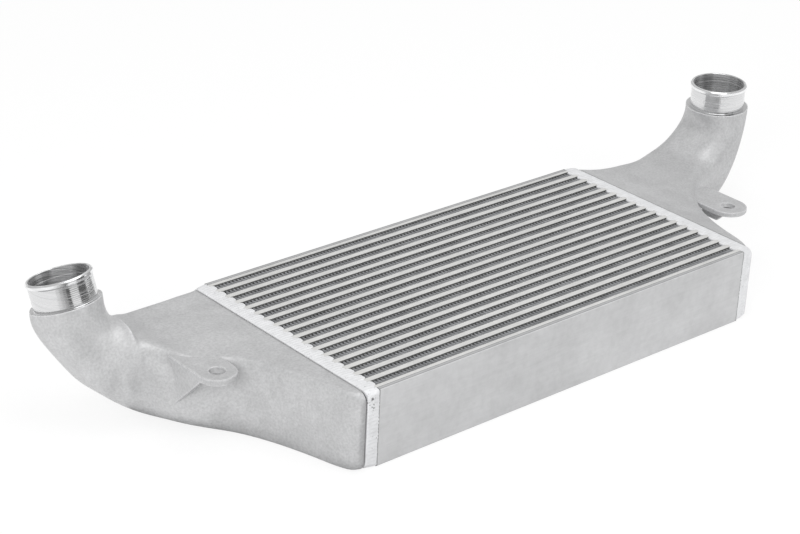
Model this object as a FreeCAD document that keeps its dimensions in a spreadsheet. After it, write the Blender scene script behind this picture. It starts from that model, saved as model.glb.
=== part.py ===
import FreeCAD, Part
import math
import os
import Sketcher
from FreeCAD import Vector

# Bar and plate intercooler with two hollow cast end tanks.
# Millimetres. X runs along the charge tubes, Y across the core, Z up.
# The origin is the middle of the core's bottom face, the plane it rests on.

os.makedirs("parts", exist_ok=True)
doc = FreeCAD.newDocument("intercooler")
sheet = doc.addObject("Spreadsheet::Sheet", "Sizes")
sheet.Label = "Sizes"
filled_rows = [0]


def put(name, value):
    """Write one named size, or one formula of named sizes, into the sheet."""
    filled_rows[0] += 1
    row = filled_rows[0]
    sheet.set("A%d" % row, name)
    sheet.set("B%d" % row, str(value))
    sheet.setAlias("B%d" % row, name)


# Sizes of the core
put("core_height", 82.5)
put("core_depth", 274)
put("core_length", 524)
put("row_count", 17)
put("tube_thickness", 6.3)
put("tube_wall", 0.8)
put("long_bar_height", 6)
put("end_bar_length", 7)
put("side_plate_thickness", 5)
put("side_plate_gap", 0.5)
put("side_plate_round", 1)
put("inner_sheet_thickness", 4.4)

# Sizes of the fins in the air channels and of the turbulators in the tubes
put("fin_folds", 17)
put("fin_gauge", 0.5)
put("fin_recess", 1.2)
put("turbulator_folds", 4)
put("turbulator_gauge", 0.4)
put("turbulator_recess", 6)

# Sizes of the weld between core and tank
put("weld_width", 13.5)
put("weld_sink", 3.2)
put("weld_proud", 0.6)
put("weld_groove_width", 1.4)
put("weld_groove_depth", 1)

# Sizes shared by both tanks
put("tank_wall", 4.6)
put("joint_inset", 10)
put("neck_radius", 31.75)
put("neck_length", 28)
put("bore_radius", 30)
put("bead_radius", 33.15)
put("bead_length", 3)
put("rim_radius", 32)
put("rim_length", 1)
put("ear_reach", 55)
put("ear_hole_radius", 7.75)
put("gusset_thickness", 5)
put("outer_step", 22)
put("inner_step", 60)

# Sizes worked out from the ones above
put("half_length", "=core_length / 2")
put("half_depth", "=core_depth / 2")
put("weld_start", "=half_length - end_bar_length")
put("inner_depth", "=half_depth - side_plate_thickness")
put("stack_depth", "=inner_depth - inner_sheet_thickness")
put("row_pitch", "=(2 * stack_depth + tube_thickness) / row_count")
put("air_gap", "=row_pitch - tube_thickness")

# Straight part of each tank: distance outward from the core's end, how far the
# near side has moved in, lift of the bottom, drop of the top, spread of the far
# side, radius of the two far corners and of the near bottom and near top corner.
STATION_FIELDS = ("out", "inset", "lift", "drop", "spread", "round", "belly", "crest")
STATIONS = {
    "left": (
        (0, 0, 0, 0, 0, 8, 8, 8),
        (14, 0, 0, 0, 0, 11, 11, 11),
        (28, 35, 0, 0, 0, 11, 11, 11),
        (48, 94, 0, 0, 0, 12, 12, 12),
        (68, 126, 1.6, 0, 0, 12, 12, 12),
        (90, 139, 7.8, 0, 0, 12, 12, 12),
        (111, 159, 9, -5, 0, 14, 27, 32),
    ),
    "right": (
        (0, 0, 0, 0, 0, 8, 8, 8),
        (14, 10, 0, 2.3, 0, 13.5, 13.5, 13.5),
        (28, 43, 0, 5.9, 0, 13.5, 13.5, 13.5),
        (48, 91, 0, 8.4, 0, 17.7, 17.7, 17.7),
        (73, 131, 0, 10.9, 0, 17.7, 17.7, 17.7),
        (103, 164, 0, 10.9, 0, 21, 21, 21),
    ),
}

# Elbow of each tank: rounded sections that fan about a pivot line. The inner and
# outer radius, the reach to the near and far side and the corner radius.
FAN_FIELDS = ("inner", "outer", "near", "far", "round")
FANS = {
    "left": (
        (6.8, 89, 62.4, 29, 23.7),
        (1.8, 74.8, 53.2, 25, 25.5),
        (1.8, 68.3, 36, 32, 27),
    ),
    "right": (
        (55.1, 125.8, 58.5, 36, 22.3),
        (55.1, 119, 45.6, 39, 22.5),
        (55.1, 103, 44, 37, 21.9),
    ),
}

# Pivot of the fan, centre of the neck's rim and lean of its axis. The first is
# measured outward from the core's end, the second inward from its far side.
PLACES = {
    "left": {
        "pivot_out": 123.9,
        "pivot_in": 27,
        "pivot_height": 99.4,
        "rim_out": 168.6,
        "rim_in": 6.9,
        "rim_height": 145.3,
        "lean_out": 0.1,
        "lean_far": 0.3,
        "pipe_length": 20,
        "pipe_radius": 35.6,
        "ear_out": 91.6,
        "ear_near": 118.5,
        "ear_drop": 0,
        "ear_radius": 19.5,
        "ear_thickness": 6.8,
        "gusset_drop": 41,
    },
    "right": {
        "pivot_out": 140.3,
        "pivot_in": 27,
        "pivot_height": 127.4,
        "rim_out": 218.5,
        "rim_in": 26.9,
        "rim_height": 147.6,
        "lean_out": -0.02,
        "lean_far": 0,
        "pipe_length": 0,
        "pipe_radius": 36.8,
        "ear_out": 102.8,
        "ear_near": 118.4,
        "ear_drop": 17.5,
        "ear_radius": 21.3,
        "ear_thickness": 5.5,
        "gusset_drop": 28,
    },
}

for side in ("left", "right"):
    for number, values in enumerate(STATIONS[side], 1):
        for field, value in zip(STATION_FIELDS, values):
            put("%s_station%d_%s" % (side, number, field), value)
    for number, values in enumerate(FANS[side], 1):
        for field, value in zip(FAN_FIELDS, values):
            put("%s_fan%d_%s" % (side, number, field), value)
    for field, value in PLACES[side].items():
        put("%s_%s" % (side, field), value)

doc.recompute()
sub_parts = []


def size(name):
    """Value of one named size as a plain number."""
    return float(sheet.get(name))


def sub_part(obj, label):
    """Name a finished sub-part and keep it for the export."""
    obj.Label = label
    sub_parts.append(obj)
    return obj


def block(name, length, width, height, low_z):
    """Rectangular block about the Z axis; all four are formulas of the sheet."""
    obj = doc.addObject("Part::Box", name)
    obj.setExpression("Length", length)
    obj.setExpression("Width", width)
    obj.setExpression("Height", height)
    obj.setExpression("Placement.Base.x", "-(%s) / 2" % length)
    obj.setExpression("Placement.Base.y", "-(%s) / 2" % width)
    obj.setExpression("Placement.Base.z", low_z)
    return obj


def notched_bar(name, width):
    """Upright bar over the core's length with both ends cut back for the weld."""
    tall = block(name + "_tall", "2 * Sizes.weld_start", width, "Sizes.core_height", "0")
    long = block(
        name + "_long",
        "Sizes.core_length",
        width,
        "Sizes.core_height - 2 * Sizes.weld_sink",
        "Sizes.weld_sink",
    )
    bar = doc.addObject("Part::MultiFuse", name)
    bar.Shapes = [tall, long]
    bar.Refine = True
    return bar


def row_place(number, offset):
    """Formula for the Y place of a row counted from the near side."""
    return "(%d - (Sizes.row_count - %s) / 2) * Sizes.row_pitch" % (number, offset)


def zigzag(length, depth, gauge, folds):
    """Flat outline of a folded strip along X, its folds reaching plus and minus
    half the depth in Y."""
    half_fold = length / (2 * folds)
    rise = gauge / half_fold * math.hypot(half_fold, depth - gauge)
    crest = (depth - rise) / 2
    upper = []
    lower = []
    for step in range(2 * folds + 1):
        x = -length / 2 + step * half_fold
        y = crest if step % 2 else -crest
        upper.append(Vector(x, y + rise / 2, 0))
        lower.append(Vector(x, y - rise / 2, 0))
    points = upper + lower[::-1]
    return Part.Face(Part.makePolygon(points + points[:1]))


def charge_tube(number):
    """Flat tube: two sheets and two long bars round one passage."""
    name = "charge_tube_%02d" % (number + 1)
    bar = notched_bar(name + "_outside", "Sizes.tube_thickness")
    passage = block(
        name + "_passage",
        "Sizes.core_length",
        "Sizes.tube_thickness - 2 * Sizes.tube_wall",
        "Sizes.core_height - 2 * Sizes.long_bar_height",
        "Sizes.long_bar_height",
    )
    tube = doc.addObject("Part::Cut", name)
    tube.Base = bar
    tube.Tool = passage
    tube.setExpression("Placement.Base.y", row_place(number, 2))
    return sub_part(tube, name)


def air_fin(number):
    """Folded fin strip that fills one air channel."""
    name = "air_fin_%02d" % (number + 1)
    outline = zigzag(
        2 * size("weld_start"),
        size("air_gap"),
        size("fin_gauge"),
        int(size("fin_folds")),
    )
    obj = doc.addObject("Part::Feature", name)
    obj.Shape = outline.extrude(Vector(0, 0, size("core_height") - 2 * size("fin_recess")))
    obj.setExpression("Placement.Base.y", row_place(number, 1))
    obj.setExpression("Placement.Base.z", "Sizes.fin_recess")
    return sub_part(obj, name)


def turbulator(number):
    """Folded strip inside one charge tube, its folds running along X."""
    name = "turbulator_%02d" % (number + 1)
    outline = zigzag(
        size("core_height") - 2 * size("long_bar_height"),
        size("tube_thickness") - 2 * size("tube_wall"),
        size("turbulator_gauge"),
        int(size("turbulator_folds")),
    )
    obj = doc.addObject("Part::Feature", name)
    strip = outline.extrude(Vector(0, 0, size("core_length") - 2 * size("turbulator_recess")))
    strip.rotate(Vector(0, 0, 0), Vector(0, 1, 0), 90)
    obj.Shape = strip
    obj.setExpression("Placement.Base.x", "Sizes.turbulator_recess - Sizes.half_length")
    obj.setExpression("Placement.Base.y", row_place(number, 2))
    obj.setExpression("Placement.Base.z", "Sizes.core_height / 2")
    return sub_part(obj, name)


def end_bars(name, sign):
    """Short bars that close the air channels at one end of the core."""
    bars = []
    for number in range(int(size("row_count"))):
        bar = block(
            "%s_%02d" % (name, number + 1),
            "Sizes.end_bar_length",
            "Sizes.air_gap",
            "Sizes.core_height - 2 * Sizes.weld_sink",
            "Sizes.weld_sink",
        )
        bar.setExpression("Placement.Base.y", row_place(number, 1) + " - Sizes.air_gap / 2")
        bars.append(bar)
    row = doc.addObject("Part::Compound", name)
    row.Links = bars
    middle = "(Sizes.half_length - Sizes.end_bar_length / 2)"
    row.setExpression("Placement.Base.x", "%d * %s" % (sign, middle))
    return sub_part(row, name)


def inner_sheet(name, sign):
    """Sheet between the outermost fin and the side plate."""
    bar = notched_bar(name, "Sizes.inner_sheet_thickness")
    middle = "(Sizes.inner_depth - Sizes.inner_sheet_thickness / 2)"
    bar.setExpression("Placement.Base.y", "%d * %s" % (sign, middle))
    return sub_part(bar, name)


def origin_plane(body, role):
    """One of a body's own origin planes."""
    for feature in body.Origin.OriginFeatures:
        if feature.Role == role:
            return feature
    raise ValueError("plane %s not found" % role)


def flat_sketch(body, name, role):
    """Empty sketch on one of the body's origin planes."""
    sketch = body.newObject("Sketcher::SketchObject", name)
    sketch.AttachmentSupport = [(origin_plane(body, role), "")]
    sketch.MapMode = "FlatFace"
    return sketch


def sketch_box(sketch, prefix, half_width, low, high):
    """Rectangle in a sketch, symmetric about its vertical axis; the three
    formulas give half the width and the heights of both sides."""
    first = sketch.GeometryCount
    corners = [Vector(-9, 1, 0), Vector(9, 1, 0), Vector(9, 20, 0), Vector(-9, 20, 0)]
    for step in range(4):
        sketch.addGeometry(Part.LineSegment(corners[step], corners[(step + 1) % 4]), False)
    for step in range(4):
        here = first + step
        after = first + (step + 1) % 4
        sketch.addConstraint(Sketcher.Constraint("Coincident", here, 2, after, 1))
    for step in (0, 2):
        sketch.addConstraint(Sketcher.Constraint("Horizontal", first + step))
        sketch.addConstraint(Sketcher.Constraint("Vertical", first + step + 1))
    rules = (
        ("half", Sketcher.Constraint("DistanceX", -1, 1, first + 1, 1, 9), half_width),
        ("other", Sketcher.Constraint("DistanceX", first, 1, -1, 1, 9), half_width),
        ("low", Sketcher.Constraint("DistanceY", -1, 1, first, 1, 1), low),
        ("high", Sketcher.Constraint("DistanceY", -1, 1, first + 2, 1, 20), high),
    )
    for rule, constraint, formula in rules:
        index = sketch.addConstraint(constraint)
        sketch.renameConstraint(index, prefix + rule)
        sketch.setExpression("Constraints." + prefix + rule, formula)


def upright_edges(shape, along, keep):
    """Names of the straight edges along one axis whose middle passes keep."""
    names = []
    for number, edge in enumerate(shape.Edges, 1):
        if len(edge.Vertexes) != 2:
            continue
        run = edge.Vertexes[1].Point.sub(edge.Vertexes[0].Point)
        if abs(run.dot(along)) < 0.999 * run.Length:
            continue
        if keep(edge.CenterOfMass):
            names.append("Edge%d" % number)
    return names


def side_plate(name, sign):
    """Outer plate of the core with softened outer edges."""
    body = doc.addObject("PartDesign::Body", name)
    sketch = flat_sketch(body, name + "_outline", "XY_Plane")
    half = "(Sizes.weld_start - Sizes.side_plate_gap)"
    sketch_box(sketch, "plate_", half, "1", "1 + Sizes.side_plate_thickness")
    pad = body.newObject("PartDesign::Pad", name + "_pad")
    pad.Profile = sketch
    pad.setExpression("Length", "Sizes.core_height")
    doc.recompute()
    outside = 1 + size("side_plate_thickness") if sign > 0 else 1
    names = upright_edges(
        pad.Shape,
        Vector(1, 0, 0),
        lambda middle: abs(middle.y - outside) < 0.01,
    )
    soft = body.newObject("PartDesign::Fillet", name + "_soft")
    soft.Base = (pad, names)
    soft.setExpression("Radius", "Sizes.side_plate_round")
    body.Tip = soft
    if sign > 0:
        body.setExpression("Placement.Base.y", "Sizes.inner_depth - 1")
    else:
        body.setExpression("Placement.Base.y", "-Sizes.half_depth - 1")
    return sub_part(body, name)


def weld_bead(name, side, sign):
    """Ring of weld metal in the joint between core and tank."""
    body = doc.addObject("PartDesign::Body", name)
    outside = flat_sketch(body, name + "_outside", "YZ_Plane")
    sketch_box(
        outside,
        "outer_",
        "Sizes.half_depth + Sizes.weld_proud",
        "0",
        "Sizes.core_height + Sizes.weld_proud",
    )
    pad = body.newObject("PartDesign::Pad", name + "_pad")
    pad.Profile = outside
    pad.setExpression("Length", "Sizes.weld_width")
    doc.recompute()
    names = upright_edges(pad.Shape, Vector(1, 0, 0), lambda middle: True)
    corners = body.newObject("PartDesign::Fillet", name + "_corners")
    corners.Base = (pad, names)
    corners.setExpression("Radius", "Sizes.%s_station1_round + Sizes.weld_proud" % side)
    inside = flat_sketch(body, name + "_inside", "YZ_Plane")
    sketch_box(
        inside,
        "inner_",
        "Sizes.inner_depth",
        "Sizes.weld_sink",
        "Sizes.core_height - Sizes.weld_sink",
    )
    opening = body.newObject("PartDesign::Pocket", name + "_opening")
    opening.Profile = inside
    opening.Type = "ThroughAll"
    opening.Midplane = True
    body.Tip = opening
    doc.recompute()
    if opening.Shape.Volume > 0.5 * pad.Shape.Volume:
        raise ValueError("the weld ring has no opening")
    if sign > 0:
        body.setExpression("Placement.Base.x", "Sizes.weld_start")
    else:
        body.setExpression("Placement.Base.x", "-Sizes.weld_start - Sizes.weld_width")
    return sub_part(body, name)


def rounded_section(place, near, far, low, high, radius, belly, crest):
    """Sixteen points round a rounded rectangle: ends and middles of its four
    sides and four corner arcs, the near bottom one with the radius belly and the
    near top one with the radius crest. The function place puts (across, up) in
    space."""
    share = 1 - math.sqrt(0.5)
    bend = radius * share
    belly_bend = belly * share
    crest_bend = crest * share
    level = (low + high) / 2
    middle = (near + far) / 2
    flat = (
        (near, low + belly),
        (near, level),
        (near, high - crest),
        (near + crest_bend, high - crest_bend),
        (near + crest, high),
        (middle, high),
        (far - radius, high),
        (far - bend, high - bend),
        (far, high - radius),
        (far, level),
        (far, low + radius),
        (far - bend, low + bend),
        (far - radius, low),
        (middle, low),
        (near + belly, low),
        (near + belly_bend, low + belly_bend),
    )
    return [place(*point) for point in flat]


def round_section(place, radius):
    """Sixteen points on a circle that match those of a rounded rectangle."""
    side_half = 16
    points = []
    for step in range(4):
        middle = 180 - 90 * step
        for angle in (middle + side_half, middle, middle - side_half, middle - 45):
            turn = math.radians(angle)
            points.append(place(radius * math.cos(turn), radius * math.sin(turn)))
    return points


def section_wire(points):
    """Closed wire of eight lines or arcs through sixteen points."""
    edges = []
    for step in range(0, 16, 2):
        start, middle, end = points[step], points[step + 1], points[(step + 2) % 16]
        if middle.distanceToLine(start, end - start) < 0.02:
            edges.append(Part.LineSegment(start, end).toShape())
        else:
            edges.append(Part.Arc(start, middle, end).toShape())
    return Part.Wire(edges)


def blend(sections, step_length):
    """Smooth row of sections through the given ones, at most a step apart."""
    marks = [0]
    for before, after in zip(sections, sections[1:]):
        gaps = [end.distanceToPoint(start) for start, end in zip(before, after)]
        marks.append(marks[-1] + sum(gaps) / len(gaps))
    tracks = []
    for corner in range(16):
        track = Part.BSplineCurve()
        track.interpolate(
            Points=[section[corner] for section in sections],
            Parameters=marks,
        )
        tracks.append(track)
    rows = [sections[0]]
    for number in range(1, len(marks)):
        run = marks[number] - marks[number - 1]
        steps = math.ceil(run / step_length)
        for step in range(1, steps):
            mark = marks[number - 1] + run * step / steps
            rows.append([track.value(mark) for track in tracks])
        rows.append(sections[number])
    return rows


def tank_frame(side, sign):
    """Points and directions of one tank's elbow and neck."""
    frame = {}
    far = size("half_depth")
    end = size("half_length")
    frame["pivot"] = Vector(
        sign * (end + size(side + "_pivot_out")),
        far - size(side + "_pivot_in"),
        size(side + "_pivot_height"),
    )
    frame["rim"] = Vector(
        sign * (end + size(side + "_rim_out")),
        far - size(side + "_rim_in"),
        size(side + "_rim_height"),
    )
    axis = Vector(sign * size(side + "_lean_out"), size(side + "_lean_far"), 1)
    frame["axis"] = axis.normalize()
    frame["outward"] = Vector(sign, 0, 0)
    frame["lean"] = math.atan2(axis.y, axis.z)
    frame["bend"] = math.acos(axis.dot(frame["outward"]))
    frame["across"] = Vector(0, math.cos(frame["lean"]), -math.sin(frame["lean"]))
    inward = frame["across"].cross(frame["axis"])
    frame["inward"] = inward.multiply(-sign if inward.x > 0 else sign)
    frame["shoulder"] = frame["rim"] - frame["axis"] * size("neck_length")
    return frame


def tank_sections(side, sign, wall):
    """Sections of one tank from the joint to the shoulder of its neck, each
    moved inward by the wall."""
    frame = tank_frame(side, sign)
    near = -size("half_depth")
    far = size("half_depth")
    sections = []
    for number in range(1, len(STATIONS[side]) + 1):
        field = {}
        for word in STATION_FIELDS:
            field[word] = size("%s_station%d_%s" % (side, number, word))
        x = sign * (size("half_length") + field["out"])
        shrink = wall
        shrink_up = wall
        if wall and number == 1:
            shrink = size("joint_inset")
            shrink_up = size("long_bar_height")
        sections.append(
            rounded_section(
                lambda across, up: Vector(x, across, up),
                near + field["inset"] + shrink,
                far + field["spread"] - shrink,
                field["lift"] + shrink_up,
                size("core_height") - field["drop"] - shrink_up,
                max(field["round"] - wall, 3),
                max(field["belly"] - wall, 3),
                max(field["crest"] - wall, 3),
            )
        )
    for number in range(1, len(FANS[side]) + 1):
        field = {}
        for word in FAN_FIELDS:
            field[word] = size("%s_fan%d_%s" % (side, number, word))
        share = (number - 1) / len(FANS[side])
        lean = frame["lean"] * share
        turn = frame["bend"] * share
        up_line = Vector(0, math.sin(lean), math.cos(lean))
        across_line = Vector(0, math.cos(lean), -math.sin(lean))
        radial = frame["outward"] * math.sin(turn) - up_line * math.cos(turn)
        sections.append(
            rounded_section(
                lambda across, up: frame["pivot"] + across_line * across - radial * up,
                wall - field["near"],
                field["far"] - wall,
                wall - field["outer"],
                -field["inner"] - wall,
                field["round"] - wall,
                field["round"] - wall,
                field["round"] - wall,
            )
        )
    radius = size("bore_radius") if wall else size(side + "_pipe_radius")
    pipe = size(side + "_pipe_length")
    for back in (pipe, 0) if pipe else (0,):
        centre = frame["shoulder"] - frame["axis"] * back
        sections.append(
            round_section(
                lambda across, up: centre + frame["across"] * across + frame["inward"] * up,
                radius,
            )
        )
    return sections


def tank_loft(side, sign, wall):
    """Body of one tank up to the shoulder of its neck, shrunk by the wall."""
    step_length = size("inner_step") if wall else size("outer_step")
    rows = blend(tank_sections(side, sign, wall), step_length)
    return Part.makeLoft([section_wire(row) for row in rows], True, True)


def neck(side, sign):
    """Machined hose neck with its end bead, solid, from shoulder to rim."""
    frame = tank_frame(side, sign)
    length = size("neck_length")
    bead_end = length - size("rim_length")
    bead_start = bead_end - size("bead_length")
    rise = size("bead_radius") - size("neck_radius")
    profile = (
        (0, -2),
        (size("neck_radius"), -2),
        (size("neck_radius"), bead_start - rise),
        (size("bead_radius"), bead_start),
        (size("bead_radius"), bead_end),
        (size("rim_radius"), length),
        (0, length),
    )
    points = []
    for radius, height in profile:
        points.append(frame["shoulder"] + frame["inward"] * radius + frame["axis"] * height)
    face = Part.Face(Part.makePolygon(points + points[:1]))
    return face.revolve(frame["shoulder"], frame["axis"], 360)


def ear(side, sign):
    """Bolt ear with its gusset under the outer edge, both without the hole."""
    top = size("core_height") - size(side + "_ear_drop")
    low = top - size(side + "_ear_thickness")
    radius = size(side + "_ear_radius")
    centre = ear_centre(side, sign)
    centre.z = low
    outer_x = centre.x + sign * radius
    inner_x = centre.x - sign * radius
    root_y = centre.y + size("ear_reach")
    outer_root = Vector(outer_x, root_y, low)
    outer_touch = Vector(outer_x, centre.y, low)
    inner_touch = Vector(inner_x, centre.y, low)
    inner_root = Vector(inner_x, root_y, low)
    tip = centre - Vector(0, radius, 0)
    edges = [
        Part.LineSegment(outer_root, outer_touch).toShape(),
        Part.Arc(outer_touch, tip, inner_touch).toShape(),
        Part.LineSegment(inner_touch, inner_root).toShape(),
        Part.LineSegment(inner_root, outer_root).toShape(),
    ]
    plate = Part.Face(Part.Wire(edges)).extrude(Vector(0, 0, top - low))
    drop = size(side + "_gusset_drop")
    corners = [
        outer_touch,
        Vector(outer_x, centre.y + drop, low - drop),
        Vector(outer_x, outer_root.y, low - drop),
        Vector(outer_x, outer_root.y, low),
    ]
    web = Part.Face(Part.makePolygon(corners + corners[:1]))
    web = web.extrude(Vector(-sign * size("gusset_thickness"), 0, 0))
    return plate.fuse(web)


def ear_centre(side, sign):
    """Centre of the ear's hole at the height of the ear's top face."""
    return Vector(
        sign * (size("half_length") + size(side + "_ear_out")),
        size(side + "_ear_near") - size("half_depth"),
        size("core_height") - size(side + "_ear_drop"),
    )


def collar(sign, start, end, depth_in, depth_up):
    """Square ring round the joint: all that lies outside a smaller block."""
    reach = 20
    deep = size("half_depth")
    high = size("core_height")
    low_x = min(sign * start, sign * end)
    around = Part.makeBox(
        end - start,
        2 * deep + 2 * reach,
        high + 2 * reach,
        Vector(low_x, -deep - reach, -reach),
    )
    kept = Part.makeBox(
        end - start,
        2 * (deep - depth_in),
        high - 2 * depth_up,
        Vector(low_x, depth_in - deep, depth_up),
    )
    return around.cut(kept)


def end_tank(name, side, sign):
    """Hollow cast tank with elbow, hose neck and bolt ear."""
    frame = tank_frame(side, sign)
    solid = tank_loft(side, sign, 0)
    solid = solid.fuse(neck(side, sign))
    solid = solid.fuse(ear(side, sign))
    solid = solid.cut(tank_loft(side, sign, size("tank_wall")))
    bore = Part.makeCylinder(
        size("bore_radius"),
        size("neck_length") + 2,
        frame["shoulder"],
        frame["axis"],
    )
    solid = solid.cut(bore)
    hole = Part.makeCylinder(
        size("ear_hole_radius"),
        size(side + "_ear_thickness") + 2,
        ear_centre(side, sign) - Vector(0, 0, size(side + "_ear_thickness") + 1),
        Vector(0, 0, 1),
    )
    solid = solid.cut(hole)
    weld_end = size("weld_start") + size("weld_width")
    joint = size("half_length")
    solid = solid.cut(
        collar(sign, joint, weld_end, size("side_plate_thickness"), size("weld_sink"))
    )
    groove = size("weld_groove_depth")
    solid = solid.cut(
        collar(sign, weld_end, weld_end + size("weld_groove_width"), groove, groove)
    )
    obj = doc.addObject("Part::Feature", name)
    obj.Shape = solid.removeSplitter()
    return sub_part(obj, name)


for number in range(int(size("row_count"))):
    air_fin(number)
for number in range(int(size("row_count")) - 1):
    charge_tube(number)
    turbulator(number)
end_bars("left_end_bars", -1)
end_bars("right_end_bars", 1)
inner_sheet("front_inner_sheet", -1)
inner_sheet("rear_inner_sheet", 1)
side_plate("front_side_plate", -1)
side_plate("rear_side_plate", 1)
weld_bead("left_weld_bead", "left", -1)
weld_bead("right_weld_bead", "right", 1)
end_tank("left_end_tank", "left", -1)
end_tank("right_end_tank", "right", 1)

doc.recompute()

for obj in doc.Objects:
    for word in ("Invalid", "Error"):
        if word in obj.State:
            raise ValueError("%s did not build" % obj.Label)
for obj in sub_parts:
    if obj.Shape.isNull() or not obj.Shape.isValid():
        raise ValueError("%s has no sound shape" % obj.Label)
for obj in sub_parts:
    obj.Shape.exportStep("parts/%s.step" % obj.Label)
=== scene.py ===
"""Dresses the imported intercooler: smooth cast tanks, hose necks, bolt ears,
weld beads, folded fins, metal finishes and a plain studio."""

import functools
import math

import bmesh
import bpy
import numpy
from bpy.props import FloatProperty, FloatVectorProperty, PointerProperty
from mathutils import Matrix, Vector


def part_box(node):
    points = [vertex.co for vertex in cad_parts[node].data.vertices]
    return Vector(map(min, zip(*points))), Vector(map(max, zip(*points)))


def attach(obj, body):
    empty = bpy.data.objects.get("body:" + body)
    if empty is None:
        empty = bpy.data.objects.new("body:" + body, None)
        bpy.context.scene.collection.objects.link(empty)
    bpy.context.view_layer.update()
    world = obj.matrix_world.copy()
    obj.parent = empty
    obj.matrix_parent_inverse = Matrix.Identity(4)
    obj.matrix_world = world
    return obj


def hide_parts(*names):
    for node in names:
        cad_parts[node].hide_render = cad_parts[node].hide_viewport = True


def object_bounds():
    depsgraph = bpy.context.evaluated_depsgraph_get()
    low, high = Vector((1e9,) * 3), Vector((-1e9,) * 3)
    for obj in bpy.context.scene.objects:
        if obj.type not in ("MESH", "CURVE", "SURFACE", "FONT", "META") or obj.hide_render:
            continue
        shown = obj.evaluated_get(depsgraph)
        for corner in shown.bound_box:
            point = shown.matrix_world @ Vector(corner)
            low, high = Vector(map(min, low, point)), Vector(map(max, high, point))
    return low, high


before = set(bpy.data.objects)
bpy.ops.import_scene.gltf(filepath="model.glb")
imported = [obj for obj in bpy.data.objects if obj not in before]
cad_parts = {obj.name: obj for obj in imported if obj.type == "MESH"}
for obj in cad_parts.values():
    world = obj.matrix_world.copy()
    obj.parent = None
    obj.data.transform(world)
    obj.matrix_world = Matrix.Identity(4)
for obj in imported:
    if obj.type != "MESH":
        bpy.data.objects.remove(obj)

bl_info = {
    "name": "Intercooler Dressing",
    "version": (1, 0, 0),
    "blender": (4, 5, 0),
    "location": "View3D > Sidebar > Intercooler",
    "description": "Castings, weld beads, folded fins and finishes of an intercooler",
    "category": "Object",
}

CAD_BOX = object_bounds()
MM = 0.001
MERGE = 1e-6
ROOT = "root"
SIDES = {"left": -1, "right": 1}
X_LINE = Vector((1, 0, 0))
Y_LINE = Vector((0, 1, 0))
Z_LINE = Vector((0, 0, 1))

# The core, read from its own nodes, in millimetres.
ROWS = sorted(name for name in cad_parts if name.startswith("air_fin_"))
TUBES = sorted(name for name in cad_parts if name.startswith("charge_tube_"))
TURBULATORS = sorted(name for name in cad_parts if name.startswith("turbulator_"))
SHEETS = ("front_inner_sheet", "rear_inner_sheet")
PLATES = ("front_side_plate", "rear_side_plate")
END_BARS = ("left_end_bars", "right_end_bars")
HALF_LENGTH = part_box("right_end_bars")[1].x / MM
HALF_DEPTH = -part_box("front_side_plate")[0].y / MM
CORE_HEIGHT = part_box("front_side_plate")[1].z / MM
WELD_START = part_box("right_weld_bead")[0].x / MM
WELD_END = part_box("right_weld_bead")[1].x / MM
WELD_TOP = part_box("right_weld_bead")[1].z / MM
PLATE_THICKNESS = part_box("front_side_plate")[1].y / MM + HALF_DEPTH

# Straight part of each tank, in millimetres: distance outward from the core's
# end, how far the near side has moved in, lift of the bottom, drop of the top,
# spread of the far side, radius of the two far corners and of the near bottom
# and near top corner.
STATIONS = {
    "left": (
        (0, 0, 0, 0, 0, 8, 8, 8),
        (14, 0, 0, 0, 0, 11, 11, 11),
        (28, 35, 0, 0, 0, 11, 11, 11),
        (48, 94, 0, 0, 0, 12, 12, 12),
        (68, 126, 1.6, 0, 0, 12, 12, 12),
        (90, 139, 7.8, 0, 0, 12, 12, 12),
        (111, 159, 9, -5, 0, 14, 27, 32),
    ),
    "right": (
        (0, 0, 0, 0, 0, 8, 8, 8),
        (14, 10, 0, 2.3, 0, 13.5, 13.5, 13.5),
        (28, 43, 0, 5.9, 0, 13.5, 13.5, 13.5),
        (48, 91, 0, 8.4, 0, 17.7, 17.7, 17.7),
        (73, 131, 0, 10.9, 0, 17.7, 17.7, 17.7),
        (103, 164, 0, 10.9, 0, 21, 21, 21),
    ),
}

# Elbow of each tank: sections that fan about a pivot line. Inner and outer
# radius, reach to the near and far side and corner radius.
FANS = {
    "left": (
        (6.8, 89, 62.4, 29, 23.7),
        (1.8, 74.8, 53.2, 25, 25.5),
        (1.8, 68.3, 36, 32, 27),
    ),
    "right": (
        (55.1, 125.8, 58.5, 36, 22.3),
        (55.1, 119, 45.6, 39, 22.5),
        (55.1, 103, 44, 37, 21.9),
    ),
}

# Pivot of the fan and centre of the neck's rim, outward from the core's end,
# inward from its far side and above the floor, the lean of the neck's axis, the
# cast pipe below the neck, and the bolt ear.
PLACES = {
    "left": {
        "pivot": (123.9, 27, 99.4),
        "rim": (168.6, 6.9, 145.3),
        "lean": (0.1, 0.3),
        "pipe": 20,
        "pipe_radius": 35.6,
        "ear": (91.6, 118.5, 0),
        "ear_radius": 19.5,
        "ear_thickness": 6.8,
        "gusset": (41, 41),
    },
    "right": {
        "pivot": (140.3, 27, 127.4),
        "rim": (218.5, 26.9, 147.6),
        "lean": (-0.02, 0),
        "pipe": 0,
        "pipe_radius": 36.8,
        "ear": (102.8, 118.4, 17.5),
        "ear_radius": 21.3,
        "ear_thickness": 5.5,
        "gusset": (28, 28),
    },
}

BORE_RADIUS = 30
NECK_LENGTH = 28
NECK_RADIUS = 31.75
BEAD_RADIUS = 33.12
BEAD_LENGTH = 3
RIM_RADIUS = 32
RIM_LENGTH = 1

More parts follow.
